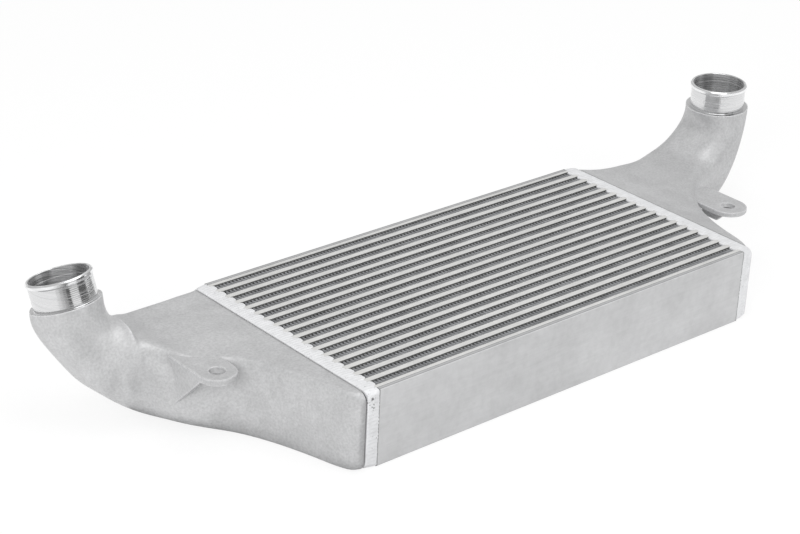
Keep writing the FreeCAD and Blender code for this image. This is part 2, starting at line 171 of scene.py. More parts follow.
# Bolt ears, in millimetres: reach of the plate from its hole into the casting, and
# the turn from the hole's middle line, in degrees, at which its end edge begins;
# lap of the gusset on the plate, and how far its root stops short of the plate's.
EAR_REACH = 55
EAR_END_TURN = 60
EAR_HOLE_RADIUS = 7.75
EAR_DROP = 0.04
EDGE_WIDTH = 0.8
GUSSET_THICKNESS = 5
GUSSET_LAP = 1
GUSSET_SHORT = 4
FLUSH = 0.05

# Corner radius of the weld at the core and at the tank, and the bead's profile:
# share of the way across and lift, as a share of its height above the core or,
# below the surface, in millimetres.
CORE_CORNER = 2.5
TANK_CORNER = 8
BEAD_CROWN = (
    (0.0, -1.6),
    (0.0, -0.5),
    (0.015, 0.2),
    (0.06, 0.62),
    (0.16, 0.92),
    (0.32, 1.0),
    (0.5, 1.0),
    (0.68, 0.92),
    (0.82, 0.7),
    (0.92, 0.3),
    (0.975, -0.35),
    (1.0, -1.2),
    (1.0, -2.6),
    (0.6, -2.6),
)

# Flat top and bottom of a fin's fold, as a share of its pitch.
FOLD_FLAT = 0.12

# More of the weld, in millimetres and radians: overlap on the core, gap at the
# casting, spread of a tongue past its fin row, turn of the ripples from one row of
# points to the next and their sweep across the bead, and the edge's two wanders
# as height, turn and start.
BEAD_OVERLAP = 0.9
BEAD_GAP = 0.05
TONGUE_SPREAD = 0.4
RIPPLE_TURN = 1.3
RIPPLE_SWEEP = 2.4
WANDERS = ((0.25, 0.29, 0), (0.2, 0.083, 1))
PITTED_CORNER = (-WELD_END * MM, -HALF_DEPTH * MM, (CORE_HEIGHT - 12) * MM)

# How finely the curved pieces are drawn, how far the smooth outside of an elbow
# stays inside its widest sections and the casting inside its box, in millimetres,
# and the reach from the pivot line, in metres, of the throat that is smoothed.
SIDE_STEPS = 8
CORNER_STEPS = 8
NECK_STEPS = 96
EAR_STEPS = 64
CIRCLE_SIDE_HALF = 16
ELBOW_EASE = 0.8
BOX_MARGIN = 0.05
THROAT_REACH = 0.024
THROAT_ROUNDS = 14

# Where a casting begins, in millimetres: length of the first span between its
# stations, and distance from the weld's end to the top of its lip.
JOINT_SPAN = 14
LIP_REACH = 1.7
LIP_CLEAR = 0.5

# Dark cards that give each neck its bands: the neck, the angles from the camera's
# direction between which a card fans out and how dense it is; reach and height in
# metres.
DARK_FANS = (
    ("left_card_light", "left", -16, -5, 0.2),
    ("left_card_middle", "left", -5, 6, 0.42),
    ("left_card_dull", "left", 6, 17, 0.62),
    ("left_card_dark", "left", 17, 29, 0.9),
    ("side_card", "left", 59, 92, 0.9),
)
FAN_NEAR = 0.06
FAN_FAR = 1.5
FAN_HEIGHT = 1.4
FAN_DROP = 0.0002
FAN_COLOUR = (0.07, 0.07, 0.07)

# Lamps: name, place, aimed point and size in metres, and whether mirrors show it.
LAMPS = (
    ("softbox", (0.25, -0.15, 2.1), (0.1, 0, 0.05), 1.4, True),
    ("side_lamp", (-2.2, -1.2, 1.3), (-0.1, 0, 0.05), 1.0, False),
    ("front_lamp", (0.9, -2.0, 1.55), (0.3, 0, 0.08), 0.9, True),
)
FLOOR_HALF = 8
FLOOR_DROP = 0.0004
FLOOR_GLOW = 1.05

CAMERA_PLACE = Vector((-1.43814, -1.47355, 1.06791))
CAMERA_FORWARD = Vector((0.60243, 0.67025, -0.43341)).normalized()
CAMERA_ROLL = math.radians(2.74)
CAMERA_LENS = 99.015
SENSOR_WIDTH = 36


class CoreLook(bpy.types.PropertyGroup):
    """Sizes and colours of the core's fins, bars and plates."""

    fold_pitch: FloatProperty(
        name="Fold pitch",
        description="Distance along a row from one fold to the next",
        default=0.0044,
        unit="LENGTH",
    )
    fold_gauge: FloatProperty(
        name="Fin gauge",
        description="Thickness of the folded fin sheet",
        default=0.00042,
        unit="LENGTH",
    )
    fold_skew: FloatProperty(
        name="Fold skew",
        description="How far a fold leans along the row, as a share of its pitch",
        default=0.12,
    )
    # Darker than the bars' metal, partly as painted shade of the deep channels between the tubes.
    fin_colour: FloatVectorProperty(
        name="Fin colour",
        description="Colour of the thin fin sheet",
        default=(0.33, 0.336, 0.347),
        subtype="COLOR",
        size=3,
    )
    bar_colour: FloatVectorProperty(
        name="Bar colour",
        description="Colour of the charge tubes and their bars",
        default=(0.72, 0.718, 0.705),
        subtype="COLOR",
        size=3,
    )
    plate_colour: FloatVectorProperty(
        name="Plate colour",
        description="Colour of the two side plates",
        default=(0.61, 0.612, 0.618),
        subtype="COLOR",
        size=3,
    )


class WeldLook(bpy.types.PropertyGroup):
    """Sizes and colour of the two weld beads."""

    step: FloatProperty(
        name="Step",
        description="Distance between two rows of points along the bead",
        default=0.0008,
        unit="LENGTH",
    )
    tongue: FloatProperty(
        name="Tongue",
        description="How far the bead runs over the end of each fin row",
        default=0.0042,
        unit="LENGTH",
    )
    ripple: FloatProperty(
        name="Ripple",
        description="Height of the ripples left by the torch",
        default=0.00025,
        unit="LENGTH",
    )
    colour: FloatVectorProperty(
        name="Weld colour",
        description="Colour of the weld metal",
        default=(0.82, 0.825, 0.838),
        subtype="COLOR",
        size=3,
    )


class TankLook(bpy.types.PropertyGroup):
    """Sizes and colours of the cast tanks, their necks and ears."""

    wall: FloatProperty(
        name="Wall",
        description="Thickness of the casting",
        default=0.0046,
        unit="LENGTH",
    )
    ring_step: FloatProperty(
        name="Ring step",
        description="Distance between two rings of points along a tank",
        default=0.0035,
        unit="LENGTH",
    )
    groove: FloatProperty(
        name="Groove",
        description="Depth of the groove between weld and casting",
        default=0.0024,
        unit="LENGTH",
    )
    cast_colour: FloatVectorProperty(
        name="Cast colour",
        description="Colour of the cast aluminium",
        default=(0.6, 0.602, 0.608),
        subtype="COLOR",
        size=3,
    )
    machined_colour: FloatVectorProperty(
        name="Machined colour",
        description="Colour of the turned hose necks",
        default=(0.94, 0.943, 0.95),
        subtype="COLOR",
        size=3,
    )


class StudioLook(bpy.types.PropertyGroup):
    """Floor and light of the studio."""

    floor_colour: FloatVectorProperty(
        name="Floor colour",
        description="Colour of the floor under the object",
        default=(0.88, 0.88, 0.88),
        subtype="COLOR",
        size=3,
    )
    fill: FloatProperty(
        name="Fill light",
        description="Strength of the even light from all round",
        default=0.58,
    )
    softbox: FloatProperty(
        name="Softbox power",
        description="Power of the lamp above the object",
        default=11.5,
        unit="POWER",
    )
    side_lamp: FloatProperty(
        name="Side lamp power",
        description="Power of the lamp beside the camera",
        default=29.0,
        unit="POWER",
    )
    front_lamp: FloatProperty(
        name="Front lamp power",
        description="Power of the lamp in front of the near plate",
        default=9.5,
        unit="POWER",
    )


class Value:
    """One output of a shader node that takes part in plain arithmetic."""

    def __init__(self, graph, socket):
        self.graph = graph
        self.socket = socket

    def _math(self, operation, first, second):
        return self.graph.node("Math", {"operation": operation}, {0: first, 1: second})

    def __add__(self, other):
        return self._math("ADD", self, other)

    def __radd__(self, other):
        return self._math("ADD", other, self)

    def __sub__(self, other):
        return self._math("SUBTRACT", self, other)

    def __rsub__(self, other):
        return self._math("SUBTRACT", other, self)

    def __mul__(self, other):
        return self._math("MULTIPLY", self, other)

    def __rmul__(self, other):
        return self._math("MULTIPLY", other, self)

    def __truediv__(self, other):
        return self._math("DIVIDE", self, other)

    def __abs__(self):
        return self.graph.node("Math", {"operation": "ABSOLUTE"}, {0: self})


class Graph:
    """Node tree of one finish, lamp or backdrop."""

    def __init__(self, tree):
        self.tree = tree
        tree.nodes.clear()

    def node(self, kind, settings, sockets, output=0):
        """New node with its settings and the values or links of its sockets."""
        made = self.tree.nodes.new("ShaderNode" + kind)
        for name, value in settings.items():
            if name == "stops":
                ramp = made.color_ramp
                while len(ramp.elements) < len(value):
                    ramp.elements.new(0.5)
                for element, (position, level) in zip(ramp.elements, value):
                    element.position = position
                    element.color = (level, level, level, 1)
            else:
                setattr(made, name, value)
        for key, value in sockets.items():
            socket = made.inputs[key]
            if isinstance(value, Value):
                self.tree.links.new(value.socket, socket)
            elif isinstance(value, (tuple, list)) and socket.type == "RGBA":
                socket.default_value = (*value[:3], 1)
            else:
                socket.default_value = value
        return Value(self, made.outputs[output])

    @functools.cached_property
    def place(self):
        """Place on the object, in metres."""
        return self.node("TexCoord", {}, {}, "Object")

    def vector_math(self, operation, first, second=(0, 0, 0), output=0):
        """Result of one vector operation."""
        return self.node("VectorMath", {"operation": operation}, {0: first, 1: second}, output)

    def along(self, place, direction):
        """Distance along a direction, in metres."""
        return self.vector_math("DOT_PRODUCT", place, direction, "Value")

    def wave(self, value):
        """Sine of a value."""
        return self.node("Math", {"operation": "SINE"}, {0: value})

    def noise(self, scale, detail, roughness):
        """Cloudy pattern from 0 to 1 with a scale in spots per metre, which may be
        another one in each direction."""
        place = self.place
        if isinstance(scale, tuple):
            place = self.node("Mapping", {}, {"Vector": place, "Scale": scale})
            scale = 1.0
        sockets = {"Vector": place, "Scale": scale, "Detail": detail, "Roughness": roughness}
        return self.node("TexNoise", {}, sockets)

    def ramp(self, value, *stops):
        """Value sent through a row of (position, level) stops."""
        return self.node("ValToRGB", {"stops": stops}, {0: value})

    def tinted(self, colour, *levels):
        """Colour multiplied by grey levels, one after the other."""
        settings = {"data_type": "RGBA", "blend_type": "MULTIPLY"}
        for level in levels:
            colour = self.node("Mix", settings, {0: 1.0, 6: colour, 7: level}, 2)
        return colour

    def bump(self, height, distance, strength=1.0, normal=None):
        """Normal tilted by a height pattern of the given depth in metres."""
        sockets = {"Height": height, "Distance": distance, "Strength": strength}
        if normal is not None:
            sockets["Normal"] = normal
        return self.node("Bump", {}, sockets)

    def rounded(self, radius):
        """Normal of the surface with its edges rounded by a radius."""
        return self.node("Bevel", {"samples": 6}, {"Radius": radius})

    def edge_wear_and_highlight(self, radius):
        """Level above one where the rounded normal leaves the plain one, at edges: partly wear,
        partly a painted highlight.
        """
        plain = self.node("NewGeometry", {}, {}, "Normal")
        return self.ramp(self.along(self.rounded(radius), plain), (0.9, 1.5), (0.99, 1.0))

    def surface(self, sockets):
        """Principled surface wired to the material's output."""
        self.show(self.node("BsdfPrincipled", {}, sockets, "BSDF"))

    def show(self, made, kind="OutputMaterial"):
        """Wires a shader to the tree's output."""
        out = self.tree.nodes.new("ShaderNode" + kind)
        self.tree.links.new(made.socket, out.inputs["Surface"])


FINISHES = {}


def new_finish(name):
    """Graph of an empty material, which is kept under its name for later pieces."""
    material = bpy.data.materials.new(name)
    material.use_nodes = True
    FINISHES[name] = material
    return Graph(material.node_tree)


def cast_finish(colour):
    """Blasted sand casting: mottled grain, cloudy stains, edges lightened partly by
    wear and partly as painted highlight, and painted shade beside each weld."""
    graph = new_finish("cast_aluminium")
    rounded = graph.rounded(1.2 * MM)
    clouds = graph.ramp(graph.noise(12, 4, 0.6), (0.3, 0.9), (0.7, 1.04))
    smudges = graph.ramp(graph.noise(45, 4, 0.7), (0.3, 0.92), (0.68, 1.04))
    specks = graph.ramp(graph.noise(420, 3, 0.6), (0.3, 0.87), (0.66, 1.07))
    # Painted shade: the casting is darkened in the groove beside each weld and for a few
    # millimetres past it.
    past_joint = (abs(graph.along(graph.place, X_LINE)) - (WELD_END - 3) * MM) / (8 * MM)
    painted_weld_shade = graph.ramp(past_joint, (0.5, 0.3), (0.6, 0.5), (0.74, 0.9), (1.0, 1.0))
    grain = graph.noise(900, 3, 0.65)
    lumps = graph.noise(140, 3, 0.6)
    # Edges lightened: partly wear, partly painted highlight.
    levels = (clouds, smudges, specks, painted_weld_shade, graph.edge_wear_and_highlight(2.4 * MM))
    graph.surface(
        {
            "Base Color": graph.tinted(colour, *levels),
            "Metallic": 0.3,
            "Roughness": 0.38 + 0.1 * graph.noise(60, 3, 0.5),
            "Specular IOR Level": 0.5,
            "Normal": graph.bump(grain, 0.2 * MM, 0.8, graph.bump(lumps, 0.4 * MM, 0.6, rounded)),
        }
    )


def machined_finish(name, colour, axis, shoulder):
    """Turned metal with fine rings round the axis, some of them duller; the bead
    is brighter, the bore less of a mirror and painted with dark streaks as its reflections."""
    graph = new_finish(name)
    height = graph.along(graph.place, axis) - shoulder.dot(axis)
    coarse = graph.wave(height * (2 * math.pi / (1.9 * MM)))
    offset = graph.vector_math("SUBTRACT", graph.place, shoulder)
    crossed = graph.vector_math("CROSS_PRODUCT", offset, axis)
    radius = graph.vector_math("LENGTH", crossed, output="Value")
    bore = graph.ramp(radius / (2 * BORE_RADIUS * MM), (0.503, 1.0), (0.508, 0.0))
    # Painted reflection: dark streaks along the axis inside the bore.
    streaks = graph.ramp(graph.noise((55, 55, 6), 2, 0.5), (0.4, 0.0), (0.58, 0.5))
    bead = graph.ramp(height / (NECK_LENGTH * MM), (0.83, 0.86), (0.85, 1.04))
    bands = graph.noise((6, 6, 900), 2, 0.5)
    rings = graph.ramp(bands, (0.3, 0.8), (0.7, 1.0))
    frosted = graph.ramp(bands, (0.48, 0.0), (0.62, 1.0))
    dull = graph.ramp(graph.noise(70, 3, 0.6), (0.35, 0.0), (0.75, 1.0))
    graph.surface(
        {
            "Base Color": graph.tinted(colour, rings, bead, 1 - bore * streaks),
            "Metallic": 1 - 0.28 * bore,
            "Roughness": 0.1 + 0.06 * dull + 0.1 * bore + 0.25 * frosted,
            "Normal": graph.bump(coarse, 0.03 * MM, 0.5),
        }
    )


def weld_finish(colour):
    """Bright weld metal with a frosted skin, soft clouds and a few dark pits."""
    graph = new_finish("weld_aluminium")
    frost = graph.noise(800, 3, 0.6)
    pits = graph.ramp(graph.noise(300, 3, 0.7), (0.25, 0.4), (0.36, 1.0))
    to_corner = graph.vector_math("DISTANCE", graph.place, PITTED_CORNER, "Value")
    near_corner = graph.ramp(to_corner / (20 * MM), (0.4, 1.0), (0.6, 0.0))
    holes = graph.ramp(graph.noise(330, 2, 0.6), (0.4, 1.0), (0.44, 0.0))
    pitted = pits * (1 - 0.75 * near_corner * holes)
    cloud = graph.ramp(graph.noise(110, 3, 0.6), (0.3, 0.9), (0.7, 1.03))
    graph.surface(
        {
            "Base Color": graph.tinted(colour, pitted, cloud),
            "Metallic": 0.14,
            "Roughness": 0.4 + 0.2 * frost,
            "Normal": graph.bump(frost, 0.2 * MM, 0.8),
        }
    )


def plate_seams(graph):
    """Dark joint lines of a side plate: two along its top edge, one beside each weld."""
    inward = (HALF_DEPTH * MM - abs(graph.along(graph.place, Y_LINE))) / (10 * MM)
    inner = PLATE_THICKNESS / 10
    edge = graph.ramp(
        inward,
        (0.08, 1.0),
        (0.11, 0.36),
        (0.15, 0.36),
        (0.18, 0.78),
        (inner - 0.07, 0.78),
        (inner - 0.04, 0.36),
    )
    beside = (abs(graph.along(graph.place, X_LINE)) - (WELD_START - 3) * MM) / (4 * MM)
    return edge * graph.ramp(beside, (0.34, 1.0), (0.42, 0.5))


def painted_tube_side_shade(graph):
    """Level of the tubes: painted shade on their sides, which lie in the dark under the brazed
    folds.
    """
    facing = graph.node("NewGeometry", {}, {}, "Normal")
    return graph.ramp(abs(graph.along(facing, Y_LINE)), (0.5, 1.0), (0.8, 0.22))


def rolled_finish(name, colour, stripe_scale, shade, seams_and_shade):
    """Rolled sheet or bar: faint streaks along its length, cloudy stains and the
    dark places that the function in its last argument gives: joint lines on a plate, painted shade
    on a tube's sides."""
    graph = new_finish(name)
    streaks = graph.noise(stripe_scale, 4, 0.65)
    level = graph.ramp(streaks, (0.3, 1 - shade), (0.7, 1.0))
    clouds = graph.ramp(graph.noise(20, 4, 0.6), (0.32, 0.92), (0.68, 1.03))
    spots = graph.ramp(graph.noise(150, 3, 0.6), (0.3, 0.95), (0.6, 1.02))
    grain = graph.noise(700, 2, 0.5)
    normal = graph.bump(streaks, 0.05 * MM, 0.5, graph.rounded(0.7 * MM))
    graph.surface(
        {
            "Base Color": graph.tinted(colour, level, clouds, seams_and_shade(graph), spots),
            "Metallic": 0.06,
            "Roughness": 0.5 + 0.18 * streaks,
            "Normal": graph.bump(grain, 0.05 * MM, 0.5, normal),
        }
    )


def fin_finish(colour):
    """Thin bare fin sheet, duller in places along a row."""
    graph = new_finish("fin_aluminium")
    drift = graph.noise((45, 260, 30), 3, 0.6)
    graph.surface(
        {
            "Base Color": graph.tinted(colour, graph.ramp(drift, (0.3, 0.62), (0.7, 1.2))),
            "Metallic": 0.0,
            "Roughness": 0.6 + 0.12 * drift,
            "Specular IOR Level": 0.25,
        }
    )


def smooth(mesh, angle=32):
    """Smooth shading with sharp edges past an angle in degrees."""
    mesh.shade_smooth()
    mesh.set_sharp_from_angle(angle=math.radians(angle))


def put(name, data):
    """New object in the scene."""
    made = bpy.data.objects.new(name, data)
    bpy.context.scene.collection.objects.link(made)
    return made


def put_mesh(name, bm, look):
    """New object with a mesh and the finish of the given name."""
    mesh = bpy.data.meshes.new(name)
    bm.to_mesh(mesh)
    bm.free()
    mesh.materials.append(FINISHES[look])
    return put(name, mesh)


def add_piece(name, bm, slot, replaced=(), look=""):
    """Closes a mesh, turns its faces outward and adds it as a piece. Its finish
    has the name of its slot, unless look names another."""
    bmesh.ops.remove_doubles(bm, verts=bm.verts[:], dist=MERGE)
    bmesh.ops.recalc_face_normals(bm, faces=bm.faces[:])
    piece = put_mesh(name, bm, look or slot)
    smooth(piece.data)
    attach(piece, ROOT)
    if replaced:
        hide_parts(*replaced)
    return piece


def skin(rows):
    """Closed skin over rings of points, each a circle whose points are moved."""
    bm = bmesh.new()
    rings = []
    for row in rows:
        start = len(bm.edges)
        made = bmesh.ops.create_circle(bm, segments=len(row), radius=1)
        ordered = sorted(made["verts"], key=lambda vert: math.atan2(vert.co.y, vert.co.x))
        for vert, point in zip(ordered, row):
            vert.co = Vector(point) * MM
        bm.edges.ensure_lookup_table()
        rings.append(bm.edges[start:])
    for before, after in zip(rings, rings[1:] + rings[:1]):
        bmesh.ops.bridge_loops(bm, edges=list(before) + list(after))
    return bm


def rounded_outline(near, far, low, high, radius, belly, crest):
    """Points round a rectangle with rounded corners, from its near low corner
    up and over. The near low corner has the radius belly, the near high one the
    radius crest."""
    arcs = (
        (near + crest, high - crest, crest, 180),
        (far - radius, high - radius, radius, 90),
        (far - radius, low + radius, radius, 0),
        (near + belly, low + belly, belly, -90),
    )
    points = []
    for number, (across, up, bend, start) in enumerate(arcs):
        last_across, last_up, last_bend, _ = arcs[number - 1]
        turn = math.radians(start)
        facing = Vector((math.cos(turn), math.sin(turn)))
        side_start = Vector((last_across, last_up)) + last_bend * facing
        side_end = Vector((across, up)) + bend * facing
        for step in range(SIDE_STEPS):
            points.append(side_start.lerp(side_end, step / SIDE_STEPS))
        for step in range(CORNER_STEPS):
            turn = math.radians(start - 90 * step / CORNER_STEPS)
            points.append(Vector((across + bend * math.cos(turn), up + bend * math.sin(turn))))
    return points


def circle_outline(radius):
    """Points round a circle that match those of the rounded rectangle."""
    points = []
    side_turn = 2 * CIRCLE_SIDE_HALF
    for middle in (180, 90, 0, -90):
        runs = (
            (middle + CIRCLE_SIDE_HALF, side_turn, SIDE_STEPS),
            (middle - CIRCLE_SIDE_HALF, 90 - side_turn, CORNER_STEPS),
        )
        for start, sweep, steps in runs:
            for step in range(steps):
                turn = math.radians(start - sweep * step / steps)
                points.append(Vector((radius * math.cos(turn), radius * math.sin(turn))))
    return points


def tank_frame(side, sign):
    """Points and directions of one tank's elbow and neck, in millimetres."""
    place = PLACES[side]
    out, inward, height = place["pivot"]
    rim_out, rim_in, rim_height = place["rim"]
    lean_out, lean_far = place["lean"]
    made = {
        "pivot": Vector((sign * (HALF_LENGTH + out), HALF_DEPTH - inward, height)),
        "rim": Vector((sign * (HALF_LENGTH + rim_out), HALF_DEPTH - rim_in, rim_height)),
        "axis": Vector((sign * lean_out, lean_far, 1)).normalized(),
        "outward": sign * X_LINE,
    }
    axis = made["axis"]
    made["lean"] = math.atan2(axis.y, axis.z)
    made["bend"] = math.acos(axis.dot(made["outward"]))
    made["across"] = Vector((0, math.cos(made["lean"]), -math.sin(made["lean"])))
    cross = made["across"].cross(axis)
    made["inward"] = cross * (-sign if cross.x > 0 else sign)
    made["shoulder"] = made["rim"] - axis * NECK_LENGTH
    return made


def placed(points, origin, across, up):
    """Flat points put in space by an origin and two directions."""
    return [origin + across * point.x + up * point.y for point in points]


def tank_rings(side, sign, wall):
    """Given sections of one tank from joint to shoulder, moved in by the wall."""
    made = tank_frame(side, sign)
    rings = []
    for out, inset, lift, drop, spread, *bends in STATIONS[side]:
        outline = rounded_outline(
            inset - HALF_DEPTH + wall,
            HALF_DEPTH + spread - wall,
            lift + wall,
            CORE_HEIGHT - drop - wall,
            *(max(bend - wall, 3) for bend in bends),
        )
        origin = Vector((sign * (HALF_LENGTH + out), 0, 0))
        rings.append(placed(outline, origin, Y_LINE, Z_LINE))
    for number, (inner, outer, near, far, radius) in enumerate(FANS[side]):
        share = number / len(FANS[side])
        lean = made["lean"] * share
        turn = made["bend"] * share
        up_turned = Vector((0, math.sin(lean), math.cos(lean)))
        across = Vector((0, math.cos(lean), -math.sin(lean)))
        radial = made["outward"] * math.sin(turn) - up_turned * math.cos(turn)
        outline = rounded_outline(
            wall - near,
            far - wall,
            wall + (ELBOW_EASE if number else 0) - outer,
            -inner - wall,
            *[radius - wall] * 3,
        )
        rings.append(placed(outline, made["pivot"], across, -radial))
    radius = BORE_RADIUS if wall else PLACES[side]["pipe_radius"]
    pipe = PLACES[side]["pipe"]
    for back in (pipe, 0) if pipe else (0,):
        centre = made["shoulder"] - made["axis"] * back
        rings.append(placed(circle_outline(radius), centre, made["across"], made["inward"]))
    return rings


def smooth_rows(rings, step_length, straight):
    """Rows of points on smooth curves through the rings, a step apart. Over the
    first straight rings no curve swings past the rings beside it."""
    points = numpy.array([[list(point) for point in ring] for ring in rings])
    gaps = numpy.linalg.norm(numpy.diff(points, axis=0), axis=2).mean(axis=1)
    secants = numpy.diff(points, axis=0) / gaps[:, None, None]
    count = len(points)
    system = numpy.zeros((count, count))
    known = numpy.zeros_like(points)
    for number in range(1, count - 1):
        before, after = gaps[number - 1], gaps[number]
        system[number, number - 1 : number + 2] = (after, 2 * (before + after), before)
        known[number] = 3 * (after * secants[number - 1] + before * secants[number])
    for end, first, second in ((0, 0, 1), (count - 1, -1, -2)):
        system[end, end] = 1
        near_gap, far_gap = gaps[first], gaps[second]
        known[end] = (
            (2 * near_gap + far_gap) * secants[first] - near_gap * secants[second]
        ) / (near_gap + far_gap)
    slopes = numpy.linalg.solve(system, known.reshape(count, -1)).reshape(points.shape)
    for number in range(1, straight):
        before, after = secants[number - 1], secants[number]
        most = 3 * numpy.minimum(abs(before), abs(after)) * (before * after > 0)
        slopes[number] = numpy.clip(slopes[number], -most, most)
    rows = [points[0]]
    for number in range(count - 1):
        gap = gaps[number]
        steps = max(1, math.ceil(gap / step_length))
        for step in range(1, steps + 1):
            t = step / steps
            rows.append(
                points[number] * (2 * t**3 - 3 * t**2 + 1)
                + slopes[number] * gap * (t**3 - 2 * t**2 + t)
                + points[number + 1] * (3 * t**2 - 2 * t**3)
                + slopes[number + 1] * gap * (t**3 - t**2)
            )
    return [row.tolist() for row in rows]


def joint_rings(first, second, sign, groove):
    """Rings at the joint: under the weld, along the groove and up its far side."""
    middle = CORE_HEIGHT / 2
    rings = []
    for past_weld, depth in ((-3, groove + 0.6), (1.0, groove), (1.3, 0.5), (LIP_REACH, 0)):
        x = WELD_END + past_weld
        share = (x - HALF_LENGTH) / JOINT_SPAN
        scale_y = 1 - depth / HALF_DEPTH
        scale_z = 1 - depth / middle
        ring = []
        for start, end in zip(first, second):
            point = Vector(start).lerp(Vector(end), share)
            ring.append((sign * x, point.y * scale_y, middle + (point.z - middle) * scale_z))
        rings.append(ring)
    return rings


def boxed(rows, side):
    """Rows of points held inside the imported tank's box."""
    low, high = [numpy.array(corner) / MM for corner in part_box(side + "_end_tank")]
    low = numpy.maximum(low, numpy.array(CAD_BOX[0]) / MM) + BOX_MARGIN
    high = numpy.minimum(high, numpy.array(CAD_BOX[1]) / MM) - BOX_MARGIN
    return numpy.clip(numpy.array(rows), low, high).tolist()


def build_tank(side, sign, look):
    """Hollow casting of one side as one closed skin, outside and inside."""
    wall = look.wall / MM
    step_length = look.ring_step / MM
    outside = tank_rings(side, sign, 0)
    inside = tank_rings(side, sign, wall)
    straight = len(STATIONS[side]) - 1
    outer_rows = smooth_rows(outside, step_length, straight)
    past_lip = WELD_END + LIP_REACH + LIP_CLEAR
    kept = [row for row in outer_rows if abs(row[0][0]) > past_lip]
    outer_rows = joint_rings(outside[0], outside[1], sign, look.groove / MM) + boxed(kept, side)
    inner_rows = smooth_rows(inside, 2 * step_length, straight)
    bm = skin(outer_rows + inner_rows[::-1])
    pivot = tank_frame(side, sign)["pivot"].xz * MM
    tight = [vert for vert in bm.verts if (vert.co.xz - pivot).length < THROAT_REACH]
    for _ in range(THROAT_ROUNDS if tight else 0):
        bmesh.ops.smooth_vert(
            bm, verts=tight, factor=0.5, use_axis_x=True, use_axis_y=True, use_axis_z=True
        )
    add_piece(side + "_tank_casting", bm, "cast_aluminium", [side + "_end_tank"])


def build_neck(side, sign, look):
    """Turned hose neck with its ledge, bead and bore, spun about its axis."""
    made = tank_frame(side, sign)
    bead_end = NECK_LENGTH - RIM_LENGTH
    bead_start = bead_end - BEAD_LENGTH
    ledge = PLACES[side]["pipe_radius"] - 0.95
    profile = (
        (BORE_RADIUS + 0.1, -6),
        (ledge, -1.5),
        (ledge, 0.06),
        (NECK_RADIUS + 0.25, 0.06),
        (NECK_RADIUS - 0.15, 0.4),
        (NECK_RADIUS, 1.2),
        (NECK_RADIUS, bead_start - 1.6),
        (NECK_RADIUS + 0.45, bead_start - 0.9),
        (BEAD_RADIUS - 0.15, bead_start - 0.1),
        (BEAD_RADIUS, bead_start + 0.5),
        (BEAD_RADIUS, bead_end - 0.3),
        (BEAD_RADIUS - 0.35, bead_end),
        (RIM_RADIUS, NECK_LENGTH - 0.15),
        (RIM_RADIUS - 0.35, NECK_LENGTH),
        (BORE_RADIUS + 0.45, NECK_LENGTH),
        (BORE_RADIUS + 0.05, NECK_LENGTH - 0.45),
        (BORE_RADIUS, NECK_LENGTH - 9),
        (BORE_RADIUS - 0.25, NECK_LENGTH - 9.4),
        (BORE_RADIUS - 0.25, 4),
        (BORE_RADIUS - 0.1, 3.4),
    )
    bm = bmesh.new()
    verts = []
    for radius, height in profile:
        point = made["shoulder"] + made["inward"] * radius + made["axis"] * height
        verts.append(bm.verts.new(point * MM))
    edges = [bm.edges.new(pair) for pair in zip(verts, verts[1:] + verts[:1])]
    bmesh.ops.spin(
        bm,
        geom=verts + edges,
        cent=made["shoulder"] * MM,
        axis=made["axis"],
        angle=2 * math.pi,
        steps=NECK_STEPS,
        use_merge=True,
    )
    turned = side + "_machined"
    machined_finish(turned, tuple(look.machined_colour), made["axis"], made["shoulder"] * MM)
    piece = add_piece(side + "_hose_neck", bm, "cast_aluminium", look=turned)
    smooth(piece.data, 18)


def build_ear(side, sign):
    """Bolt ear of one tank: a U-shaped plate with a hole and its gusset."""
    place = PLACES[side]
    out, near, drop = place["ear"]
    radius = place["ear_radius"]
    top = CORE_HEIGHT - drop - EAR_DROP
    centre = Vector((sign * (HALF_LENGTH + out), near - HALF_DEPTH, top))
    bm = bmesh.new()
    bmesh.ops.create_circle(bm, segments=EAR_STEPS, radius=EAR_HOLE_RADIUS)
    rim = bmesh.ops.create_circle(bm, segments=EAR_STEPS, radius=radius)["verts"]
    end_turn = math.radians(EAR_END_TURN)
    for vert in rim:
        if vert.co.y > MERGE:
            steep = math.atan2(vert.co.y, abs(vert.co.x))
            side_share = min(1, steep / end_turn)
            flat_share = max(0, (steep - end_turn) / math.radians(90 - EAR_END_TURN))
            vert.co.x = math.copysign(radius * (1 - flat_share), vert.co.x)
            vert.co.y = EAR_REACH * side_share
    bmesh.ops.bridge_loops(bm, edges=bm.edges[:])
    grown = bmesh.ops.extrude_face_region(bm, geom=bm.faces[:])
    pull(bm, grown, (0, 0, -place["ear_thickness"]))
    bmesh.ops.translate(bm, verts=bm.verts[:], vec=centre)
    bmesh.ops.scale(bm, verts=bm.verts[:], vec=(MM, MM, MM))
    piece = add_piece(side + "_bolt_ear", bm, "cast_aluminium")
    soften(piece)
    build_gusset(side, sign, centre)


def build_gusset(side, sign, centre):
    """Triangular web under the outer edge of the ear."""
    place = PLACES[side]
    run, drop = place["gusset"]
    outer_x = centre.x + sign * (place["ear_radius"] + FLUSH)
    high = centre.z - FLUSH
    low = centre.z - place["ear_thickness"] + GUSSET_LAP
    root_y = centre.y + EAR_REACH - GUSSET_SHORT
    corners = (
        (outer_x, centre.y - GUSSET_LAP, high),
        (outer_x, centre.y - GUSSET_LAP, low),
        (outer_x, centre.y + run, low - drop - GUSSET_LAP),
        (outer_x, root_y, low - drop - GUSSET_LAP),
        (outer_x, root_y, high),
    )
    bm = bmesh.new()
    face = bm.faces.new([bm.verts.new(Vector(corner) * MM) for corner in corners])
    grown = bmesh.ops.extrude_face_region(bm, geom=[face])
    pull(bm, grown, (-sign * GUSSET_THICKNESS * MM, 0, 0))
    piece = add_piece(side + "_ear_gusset", bm, "cast_aluminium")
    soften(piece)


